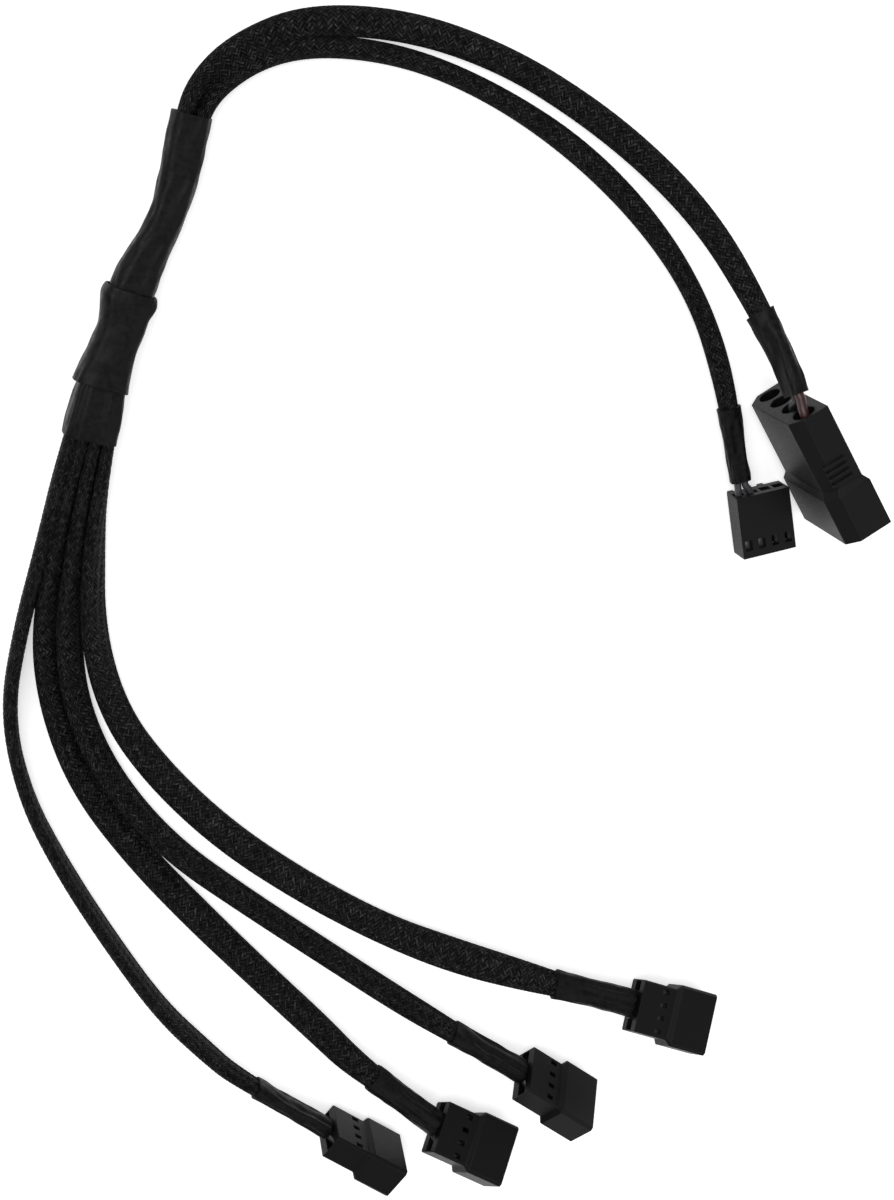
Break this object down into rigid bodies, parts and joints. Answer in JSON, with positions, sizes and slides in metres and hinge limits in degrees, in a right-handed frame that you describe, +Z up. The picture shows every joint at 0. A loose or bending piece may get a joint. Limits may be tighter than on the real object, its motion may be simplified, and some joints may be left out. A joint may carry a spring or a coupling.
{
  "type": "fan splitter cable",
  "caption": "Sleeved fan splitter cable: a power plug and a header plug feed a heat-shrunk trunk that branches into flat braided leads, each ending in a keyed fan socket.",
  "frame": {"origin": "on the surface that the cable lies on, under the middle of the box of the connectors, collars and trunk", "axes": "+Z up, +Y along the longest extent from the fan sockets to the trunk, +X from the trunk to the plugs"},
  "size_m": [0.1543, 0.2185, 0.0224],
  "materials": {
    "nylon": "moulded, fine satin",
    "shrink": "heat-shrunk, semi-gloss",
    "braid": "braided monofilament sleeve",
    "insulation": "smooth wire insulation",
    "tinned": "tin plated",
    "solder": "soldered copper"
  },
  "bodies": {
    "root": {"fan_lead_1": "braid", "fan_lead_1_collar": "shrink", "fan_lead_2": "braid", "fan_lead_2_collar": "shrink", "fan_lead_3": "braid", "fan_lead_3_collar": "shrink", "fan_lead_4": "braid", "fan_lead_4_collar": "shrink", "fan_socket_1_housing": "nylon", "fan_socket_1_pins": "tinned", "fan_socket_1_wires": "insulation", "fan_socket_2_housing": "nylon", "fan_socket_2_pins": "tinned", "fan_socket_2_wires": "insulation", "fan_socket_3_housing": "nylon", "fan_socket_3_pins": "tinned", "fan_socket_3_wires": "insulation", "fan_socket_4_housing": "nylon", "fan_socket_4_pins": "tinned", "fan_socket_4_wires": "insulation", "ground_splice": "solder", "header_lead": "braid", "header_lead_collar": "shrink", "header_plug_housing": "nylon", "header_plug_terminals": "tinned", "header_plug_wires": "insulation", "power_lead": "braid", "power_lead_collar": "shrink", "power_plug_housing": "nylon", "power_plug_pins": "tinned", "power_plug_wires": "insulation", "pwm_splice": "solder", "supply_splice": "solder", "tach_wire": "insulation", "trunk_lower_sleeve": "shrink", "trunk_splice_sleeve": "shrink", "trunk_upper_sleeve": "shrink"}
  },
  "joints": []
}
